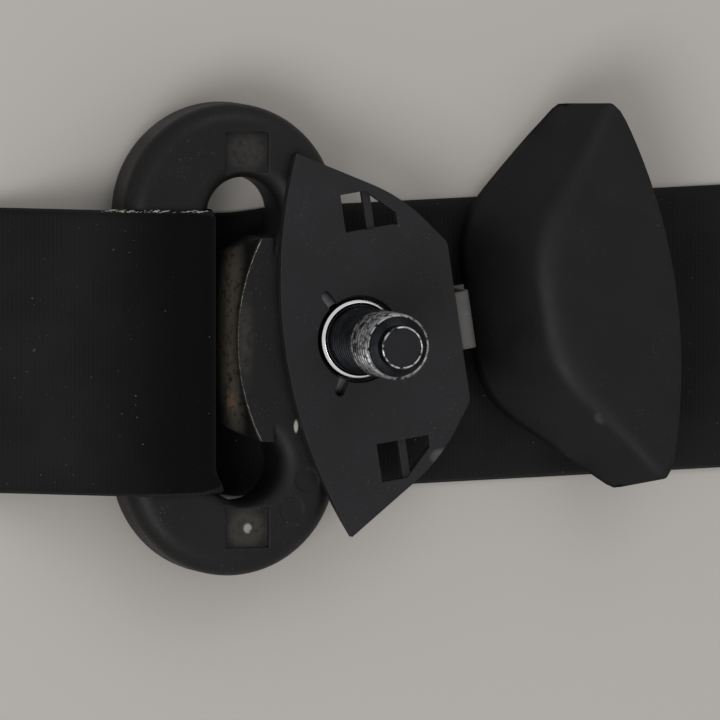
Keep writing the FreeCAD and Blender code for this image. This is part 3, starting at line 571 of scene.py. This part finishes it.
# The front strap comes down out of the slot, turns and lies along the board
OUT_OF_SLOT, ROLLED_OVER = (-24.0, FLOOR + 7.6), (-23.0, -15.0)
FRONT_LEGS = [("run", 3.5), ("turn", 3.5, 90.0), ("run", 115.5)]
front_route = walk(OUT_OF_SLOT, -math.pi / 2, FRONT_LEGS)
front, front_length = strap(
    "webbing_under_cover", front_route, lambda x: 1 - smooth_step(x, *ROLLED_OVER), front_sway
)
for piece, node, length in (
    (rear, "webbing_rear_run", rear_length),
    (front, "webbing_front_run", front_length),
):
    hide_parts(node)
    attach(piece, "root")
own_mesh(front)


def fibre(points, faces, path, radius):
    """Adds one thin three-sided fibre along a path, tapered to both ends."""
    start = len(points)
    for i, middle in enumerate(path):
        thick = radius * (0.35 + 0.65 * math.sin(math.pi * (i + 0.5) / len(path)))
        for k in range(3):
            angle = 2 * math.pi * k / 3
            points.append(Vector(middle) + Vector((0, math.cos(angle), math.sin(angle))) * thick)
    faces += skin(len(path), 3, start)


def top_of_rear(x):
    """Height of the rear strap's upper face."""
    near = min(rear_route, key=lambda s: abs(s[0] - x))
    return near[1] + WEBBING_GAUGE / 2


# Lint along the upper selvedge, just under the top of the strap
LINT_FIBRES, LINT_STOPS, LINT_SINK = 60, -24.6, 0.45
points, faces = [], []
for _ in range(LINT_FIBRES):
    x = dice.uniform(-43.0, -25.5)
    edge = WEBBING_MIDDLE + WEBBING_WIDTH / 2 + rear_sway(x)
    run, out, bend = dice.uniform(0.15, 1.3), dice.uniform(-0.2, 0.25), dice.uniform(-0.3, 0.3)
    path = []
    for i in range(6):
        t = i / 5
        along = min(x + run * t, LINT_STOPS)
        strayed = out * t + bend * t * (1 - t) * 2 - 0.15
        path.append((along, edge + strayed, top_of_rear(along) - LINT_SINK))
    fibre(points, faces, path, dice.uniform(0.025, 0.045))
lint = new_piece("selvedge_lint", points, faces, LINT)
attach(lint, "root")

# Thin ragged flash that the mould left along the crease behind the lip
SLOPE_END_X, SLOPE_END_Y, SLOPE_BOW = -16.2, 16.6, 4.0
bow_radius = (SLOPE_END_Y ** 2 + SLOPE_BOW ** 2) / (2 * SLOPE_BOW)
bow_x = SLOPE_END_X - SLOPE_BOW + bow_radius
FLASH_STEPS, FLASH_RUN = 90, 6
points, faces, path = [], [], []
for i in range(FLASH_STEPS + 1):
    y = SLOPE_END_Y * (1 - 2 * i / FLASH_STEPS)
    x = bow_x - math.sqrt(bow_radius ** 2 - y ** 2)
    path.append((x + dice.uniform(-0.05, 0.05), y, RING_TOP + dice.uniform(-0.04, 0.03)))
for i in range(0, FLASH_STEPS, FLASH_RUN):
    fibre(points, faces, path[i : i + FLASH_RUN + 1], dice.uniform(0.07, 0.14))
flash = new_piece("mould_flash", points, faces, FLASH)
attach(flash, "root")

# Bolt

AROUND = 96
# Thread form: half width of its crest in turns, where the root starts, depth, and the chamfer
CREST, ROOT, THREAD_DEPTH, NOSE = 1 / 16, 0.42, 0.62, 0.9


def thread_radius(angle, z):
    """Radius of a 7/16-20 thread, 60 degree flanks with flat crests and rounded roots."""
    turn = (z / THREAD_PITCH - angle / (2 * math.pi)) % 1.0
    away = min(turn, 1 - turn)
    depth = smooth_step(away, CREST, ROOT) * THREAD_DEPTH
    run_out = smooth_step(z, 0.2, 2.2)
    nose = THREAD - NOSE + max(0.0, THREAD_END - z)
    return min(THREAD - 0.05 - depth * run_out, nose)


SOCKET_RADIUS, SOCKET_SWING = 3.2, 1.05


def six_lobes(angle):
    """Radius of the six-lobe socket."""
    return SOCKET_RADIUS + SOCKET_SWING * math.cos(6 * angle)


# Radius and height of each ring of points, from the bottom of the socket to the tip. First the
# socket, the head and its flange, then the shoulder
THREAD_STEP = 0.09
rings = [(lambda a: six_lobes(a) * 0.98, -10.7), (six_lobes, -10.75), (six_lobes, -14.25)]
rings += [(lambda a: six_lobes(a) + 0.1, -14.3), (6.5, -14.3), (6.6, -14.28), (7.7, -13.2)]
rings += [(7.8, -13.1), (7.8, -9.5), (7.9, -9.4), (10.4, -9.4), (10.5, -9.3), (10.5, -7.9)]
rings += [(10.4, -7.8), (6.6, -7.8), (6.6, -0.55), (6.57, -0.5), (6.1, -0.03), (6.05, 0.0)]
rings += [(5.9, -0.1), (5.5, -0.3)]
height = -0.2
while height < THREAD_END:
    rings.append((lambda a, z=height: thread_radius(a, z), height))
    height += THREAD_STEP
rings += [(4.6, THREAD_END), (3.6, THREAD_END), (3.55, THREAD_END + 0.05), (3.55, TIP - 0.3)]
rings += [(3.5, TIP - 0.15), (3.4, TIP - 0.02), (3.3, TIP), (3.2, TIP - 0.05), (3.1, TIP - 0.4)]
rings += [(3.05, TIP - TIP_SINK), (2.95, TIP - TIP_SINK), (0.05, TIP - TIP_SINK)]
points = []
for radius, z in rings:
    for k in range(AROUND):
        angle = 2 * math.pi * k / AROUND
        r = radius(angle) if callable(radius) else radius
        points.append((r * math.cos(angle), r * math.sin(angle), z))
faces = [tuple(reversed(face)) for face in skin(len(rings), AROUND)]
bolt = new_piece("threaded_bolt", points, faces, WORN_BOLT)
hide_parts("anchor_bolt")
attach(bolt, "bolt")

# Hinge strap

HINGE_REACH, FOLD_GAP, STRAP_WIDTH, STRAP_GAUGE, STRAP_BEND = 19.8, 2.5, 9.5, 0.7, 1.1
STRAP_TOP, STRAP_LOW = -1.4, -11.8
STRAP_ROWS = 12
side_run = FOLD_GAP - STRAP_BEND
drop = STRAP_TOP - STRAP_LOW - 2 * STRAP_BEND
strap_legs = [("run", side_run), ("turn", STRAP_BEND, -90.0), ("run", drop)]
strap_legs += [("turn", STRAP_BEND, 90.0), ("run", side_run)]
strap_route = walk((HINGE_REACH - FOLD_GAP, STRAP_TOP), 0.0, strap_legs)
turned_plate = Matrix.Rotation(math.radians(PLATE_TURN), 4, "Z")
points = []
for x, z, heading, _ in strap_route:
    out = Vector((-math.sin(heading), 0, math.cos(heading)))
    for side in (1, -1):
        for row in range(STRAP_ROWS + 1):
            across = side * STRAP_WIDTH / 2 * (1 - 2 * row / STRAP_ROWS)
            points.append(turned_plate @ (Vector((x, across, z)) + out * side * STRAP_GAUGE / 2))
faces = skin(len(strap_route), 2 * (STRAP_ROWS + 1))
hinge = new_piece("bent_hinge_strap", points, faces, WHITENED)
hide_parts("hinge_strap")
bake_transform(hinge)

# Cover

RIM, COVER_DEPTH, COVER_WALL, COVER_ROOF = -12.5, 14.5, 1.6, 1.1
# Lines of the cover seen from above, in the plate's directions: distance of the near side, half
# width and radius of its corners, distance and half width of the tips, distance of the far side
RIM_SHAPE = (22.3, 7.3, 16.0, 44.4, 33.6, 54.0)
RIDGE_SHAPE = (32.2, 3.0, 24.0, 48.8, 32.9, 54.6)
FACE_SHAPE = (36.6, 3.0, 24.0, 49.1, 30.6, 53.3)
# Share of the wall's height where it starts to bend over, and the rim's flare by the way it is cut
BAND_START, FLARE, FLARE_ENDS = 0.86, 0.3, (44.0, 47.0)
SIDE_STEPS, CORNER_STEPS, NEAR_STEPS, FAR_STEPS = 14, 14, 8, 30


def evened(values):
    """Values round a closed line, each drawn three times towards its neighbours."""
    count = len(values)
    for _ in range(3):
        after = values[1:] + values[:1]
        values = [(values[i - 1] + values[i] * 2 + after[i]) / 4 for i in range(count)]
    return values


def cover_outline(near, half, radius, tip, tip_half, far):
    """The cover seen from above: from its upper tip by the flank and the hinge side to the lower
    tip, and back along the bowed far side."""
    middle = near + radius
    toward = math.atan2(tip_half - half, tip - middle)
    leave = toward + math.acos(radius / math.hypot(tip - middle, tip_half - half))
    touch = Vector((middle + radius * math.cos(leave), half + radius * math.sin(leave)))
    top = Vector((tip, tip_half))
    flank = [top.lerp(touch, i / SIDE_STEPS) for i in range(SIDE_STEPS)]
    for i in range(CORNER_STEPS):
        angle = leave + (math.pi - leave) * i / CORNER_STEPS
        flank.append(Vector((middle + radius * math.cos(angle), half + radius * math.sin(angle))))
    low_flank = [Vector((u, -v)) for u, v in reversed(flank)]
    straight = [Vector((near, half * (1 - 2 * i / NEAR_STEPS))) for i in range(NEAR_STEPS + 1)]
    bow = far - tip
    big = (tip_half ** 2 + bow ** 2) / (2 * bow)
    spread = math.asin(tip_half / big)
    back = []
    for i in range(1, FAR_STEPS):
        angle = spread * (2 * i / FAR_STEPS - 1)
        back.append(Vector((far - big + big * math.cos(angle), big * math.sin(angle))))
    return evened(flank + straight + low_flank + back)


# The rim is cut up for the ring and the webbing: by how much, from and to which distance
MOUTH_RAMPS = (
    (0.6, 32.5, 34.0),
    (0.6, 34.0, 38.0),
    (3.8, 38.2, 41.0),
    (1.2, 40.0, 44.0),
    (5.8, 44.0, 49.0),
    (0.4, 32.5, 36.0),
)
WEBBING_WAY, WAY_EDGE, WAY_ROOF = (45.5, 47.5), (24.5, 27.0), 0.2


def mouth_height(u, v):
    """How far the rim is cut up: nearly to the roof where the webbing passes."""
    height = sum(rise * smooth_step(u, start, end) for rise, start, end in MOUTH_RAMPS)
    deep = smooth_step(u, *WEBBING_WAY) * (1 - smooth_step(abs(v), *WAY_EDGE))
    return height + (COVER_DEPTH - COVER_WALL - WAY_ROOF - height) * deep


def box(points, faces, low, high):
    """Adds a box between two corners."""
    start = len(points)
    for x in (low[0], high[0]):
        for y in (low[1], high[1]):
            points += [(x, y, low[2]), (x, y, high[2])]
    sides = [(0, 1, 3, 2), (4, 6, 7, 5), (0, 4, 5, 1), (2, 3, 7, 6), (0, 2, 6, 4), (1, 5, 7, 3)]
    faces += [tuple(start + k for k in side) for side in sides]


rims, ridges, brinks = [cover_outline(*shape) for shape in (RIM_SHAPE, RIDGE_SHAPE, FACE_SHAPE)]
around = len(rims)
cuts = [mouth_height(*at_rim) for at_rim in rims]
cuts = evened([max(cuts[i - 1], cut, cuts[(i + 1) % around]) for i, cut in enumerate(cuts)])
# The inside is the outside drawn in by the wall's share of the reach from its middle
CENTRE_U, NEAR_REACH, FAR_REACH, TIP_REACH = 42.0, 18.0, 10.5, 31.5
WALL_ROWS, BEND_ROWS, INNER_ROWS = 9, 9, 8
outer, inner = [[] for _ in range(WALL_ROWS + BEND_ROWS)], [[] for _ in range(INNER_ROWS)]
for at_rim, at_ridge, at_brink, cut in zip(rims, ridges, brinks, cuts):
    flare = FLARE * cut * (1 - smooth_step(at_rim[0], *FLARE_ENDS))
    foot = Vector((at_rim[0] - flare, at_rim[1], cut))
    ridge = Vector((*at_ridge, COVER_DEPTH))
    start = foot.lerp(ridge, BAND_START)
    brink = Vector((*at_brink, COVER_DEPTH))
    for k in range(WALL_ROWS):
        outer[k].append(foot.lerp(start, k / WALL_ROWS))
    for k in range(BEND_ROWS):
        t = k / (BEND_ROWS - 1)
        bend = start * (1 - t) ** 2 + ridge * 2 * t * (1 - t) + brink * t ** 2
        outer[WALL_ROWS + k].append(bend)
    roof = max(cut + 0.02, COVER_DEPTH - COVER_ROOF)
    for k in range(INNER_ROWS):
        down = k / (INNER_ROWS - 1)
        level = roof * (1 - down) + cut * down
        wall = foot.lerp(ridge, min(1.0, (level - cut) / (COVER_DEPTH - cut)))
        reach = NEAR_REACH if wall[0] < CENTRE_U else FAR_REACH
        drawn_in = CENTRE_U + (wall[0] - CENTRE_U) * (1 - COVER_WALL / reach)
        inner[k].append(Vector((drawn_in, wall[1] * (1 - COVER_WALL / TIP_REACH), level)))
points = [Vector((u, v, h + RIM)) for level in inner + outer for u, v, h in level]
faces = skin(len(inner) + len(outer), around)
# Snap hooks that pass the windows of the plate, each with a barb towards the middle: inner and outer
# face of the stem and of the barb, and how far their tops are from the rim
HOOKS = ((18.25, 19.75, 3.6), (17.75, 18.25, -1.3))
HOOK_NEAR, HOOK_FAR, HOOK_TIP = 30.9, 32.6, RIM - 2.6
for side in (1, -1):
    for inside, outside, top in HOOKS:
        low, high = sorted((side * inside, side * outside))
        box(points, faces, (HOOK_NEAR, low, HOOK_TIP), (HOOK_FAR, high, RIM + top))
cover = new_piece("soft_edged_cover", [turned_plate @ Vector(c) for c in points], faces, GRAINED)
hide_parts("cover_cap")
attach(cover, "cover")

# Solids that stay as they are and only get their materials

for node, material in {
    "ring_core": STAMPED,
    "ring_overmould": ACETAL,
    "pivot_bush": NATURAL,
    "front_washer": STAMPED,
    "spring_washer": STAMPED,
    "base_plate": POLYPROPYLENE,
}.items():
    finish_with(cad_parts[node], material)

# Board, lights and camera

BOARD_HALF, BOARD_TOP = 1500, FLOOR - 0.05
corners = [(x, y, BOARD_TOP) for x, y in ((-1, -1), (1, -1), (1, 1), (-1, 1))]
corners = [(x * BOARD_HALF, y * BOARD_HALF, z) for x, y, z in corners]
board = new_piece("board", corners, [(0, 1, 2, 3)], BOARD)

ROOM_LIGHT = 0.7
world = bpy.data.worlds.new("room")
world.use_nodes = True
backdrop = world.node_tree.nodes["Background"].inputs
backdrop["Color"].default_value = linear("#ffffff")
backdrop["Strength"].default_value = ROOM_LIGHT
bpy.context.scene.world = world


def soft_lamp(name, direction, distance, size, power):
    """A round area lamp that looks at the part; distance and size in metres."""
    lamp = bpy.data.lights.new(name, "AREA")
    lamp.shape = "DISK"
    lamp.size = size
    lamp.energy = power
    holder = bpy.data.objects.new(name, lamp)
    holder.location = Vector(direction).normalized() * distance
    holder.rotation_euler = Vector(direction).to_track_quat("Z", "Y").to_euler()
    bpy.context.scene.collection.objects.link(holder)


soft_lamp("key", (-0.5, -0.35, 0.8), 1.2, 0.7, 6.0)
soft_lamp("fill", (0.2, 0.7, 0.7), 1.2, 0.7, 2.0)

TOWARDS = Vector((-0.294, 0.0625, 0.954)).normalized()
RIGHT = Vector((0.9556, 0.0, 0.2947)).normalized()
UP = TOWARDS.cross(RIGHT)
SIGHT = Vector((-0.5, -3.4, 0.0)) * MM
DISTANCE, SEEN_WIDTH, SENSOR = 4.0, 0.1184, 36.0
camera_data = bpy.data.cameras.new("camera")
camera_data.sensor_width = SENSOR
camera_data.lens = SENSOR * DISTANCE / SEEN_WIDTH
camera = bpy.data.objects.new("camera", camera_data)
turned_to = Matrix((RIGHT, UP, TOWARDS)).transposed().to_4x4()
camera.matrix_world = Matrix.Translation(SIGHT + TOWARDS * DISTANCE) @ turned_to
bpy.context.scene.collection.objects.link(camera)
bpy.context.scene.camera = camera

bpy.context.scene.view_settings.view_transform = "Standard"
